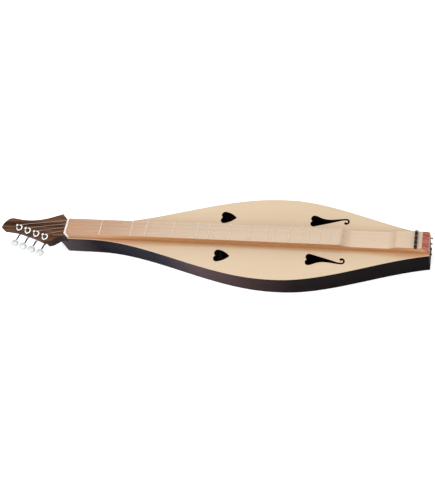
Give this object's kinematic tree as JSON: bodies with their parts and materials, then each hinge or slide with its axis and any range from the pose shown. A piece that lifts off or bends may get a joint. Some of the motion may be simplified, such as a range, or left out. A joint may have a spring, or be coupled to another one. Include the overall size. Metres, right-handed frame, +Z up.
{
  "type": "mountain dulcimer",
  "caption": "Teardrop mountain dulcimer with a full-length diatonic fretboard, heart sound holes and a flat headstock with worm-geared tuners that turn.",
  "frame": {"origin": "bottom centre of the whole object, on the flat back's underside", "axes": "+X along the strings from the headstock to the tail, +Y across to the far side from the tuner buttons, +Z up out of the soundboard"},
  "size_m": [0.886, 0.1726, 0.0834],
  "materials": {
    "spruce_top": "satin lacquer over pale straight-grained spruce",
    "dark_sides": "very dark stained hardwood with a satin lacquer",
    "inner_wood": "raw planed softwood",
    "fretboard_wood": "oiled pinkish tan hardwood",
    "nut_bone": "polished bone white",
    "ebony": "polished black wood",
    "padauk": "oiled red hardwood",
    "headstock_wood": "satin lacquer over dark streaked walnut",
    "fret_wire": "polished nickel silver",
    "nickel": "polished nickel plating",
    "shaft_steel": "dark turned steel",
    "pearl_button": "glossy pearl-white plastic",
    "wheel_brass": "machined brass",
    "string_steel": "bright drawn wire"
  },
  "bodies": {
    "root": {"soundboard": "spruce_top", "back_panel": "dark_sides", "rib_near": "dark_sides", "rib_far": "dark_sides", "head_block": "dark_sides", "tail_block": "dark_sides", "lining_top_near": "inner_wood", "lining_top_far": "inner_wood", "lining_bottom_near": "inner_wood", "lining_bottom_far": "inner_wood", "back_brace_1": "inner_wood", "back_brace_2": "inner_wood", "back_brace_3": "inner_wood", "top_brace_1": "inner_wood", "top_brace_2": "inner_wood", "fretboard": "fretboard_wood", "nut": "nut_bone", "bridge": "ebony", "tail_cap": "padauk", "tail_pins": "ebony", "headstock": "headstock_wood", "fret_01": "fret_wire", "fret_02": "fret_wire", "fret_03": "fret_wire", "fret_04": "fret_wire", "fret_05": "fret_wire", "fret_06": "fret_wire", "fret_07": "fret_wire", "fret_08": "fret_wire", "fret_09": "fret_wire", "fret_10": "fret_wire", "fret_11": "fret_wire", "fret_12": "fret_wire", "fret_13": "fret_wire", "fret_14": "fret_wire", "fret_15": "fret_wire", "fret_16": "fret_wire", "tuner_plates": "nickel", "post_bushings": "nickel", "tuner_screws": "nickel", "string_1": "string_steel", "string_2": "string_steel", "string_3": "string_steel", "string_4": "string_steel"},
    "tuner_1_button": {"tuner_worm_1": "shaft_steel", "tuner_button_1": "pearl_button"},
    "tuner_1_post": {"tuner_post_1": "nickel", "tuner_wheel_1": "wheel_brass"},
    "tuner_2_button": {"tuner_worm_2": "shaft_steel", "tuner_button_2": "pearl_button"},
    "tuner_2_post": {"tuner_post_2": "nickel", "tuner_wheel_2": "wheel_brass"},
    "tuner_3_button": {"tuner_worm_3": "shaft_steel", "tuner_button_3": "pearl_button"},
    "tuner_3_post": {"tuner_post_3": "nickel", "tuner_wheel_3": "wheel_brass"},
    "tuner_4_button": {"tuner_worm_4": "shaft_steel", "tuner_button_4": "pearl_button"},
    "tuner_4_post": {"tuner_post_4": "nickel", "tuner_wheel_4": "wheel_brass"}
  },
  "joints": [
    {"name": "button_1_turn", "type": "hinge", "parent": "root", "child": "tuner_1_button", "pos_m": [-0.40768, -0.00173, 0.043], "axis": [-0.2807, -0.9598, 0], "continuous": true},
    {"name": "post_1_turn", "type": "hinge", "parent": "root", "child": "tuner_1_post", "pos_m": [-0.3999, -0.004, 0.043], "axis": [0, 0, 1], "continuous": true},
    {"name": "button_2_turn", "type": "hinge", "parent": "root", "child": "tuner_2_button", "pos_m": [-0.3857, -0.00815, 0.043], "axis": [-0.2807, -0.9598, 0], "continuous": true},
    {"name": "post_2_turn", "type": "hinge", "parent": "root", "child": "tuner_2_post", "pos_m": [-0.37792, -0.01043, 0.043], "axis": [0, 0, 1], "continuous": true},
    {"name": "button_3_turn", "type": "hinge", "parent": "root", "child": "tuner_3_button", "pos_m": [-0.36372, -0.01458, 0.043], "axis": [-0.2807, -0.9598, 0], "continuous": true},
    {"name": "post_3_turn", "type": "hinge", "parent": "root", "child": "tuner_3_post", "pos_m": [-0.35594, -0.01685, 0.043], "axis": [0, 0, 1], "continuous": true},
    {"name": "button_4_turn", "type": "hinge", "parent": "root", "child": "tuner_4_button", "pos_m": [-0.34174, -0.02101, 0.043], "axis": [-0.2807, -0.9598, 0], "continuous": true},
    {"name": "post_4_turn", "type": "hinge", "parent": "root", "child": "tuner_4_post", "pos_m": [-0.33396, -0.02328, 0.043], "axis": [0, 0, 1], "continuous": true}
  ],
  "couplings": [
    {"joint": "post_1_turn", "follows": "button_1_turn", "ratio": -0.0625},
    {"joint": "post_2_turn", "follows": "button_2_turn", "ratio": -0.0625},
    {"joint": "post_3_turn", "follows": "button_3_turn", "ratio": -0.0625},
    {"joint": "post_4_turn", "follows": "button_4_turn", "ratio": -0.0625}
  ]
}
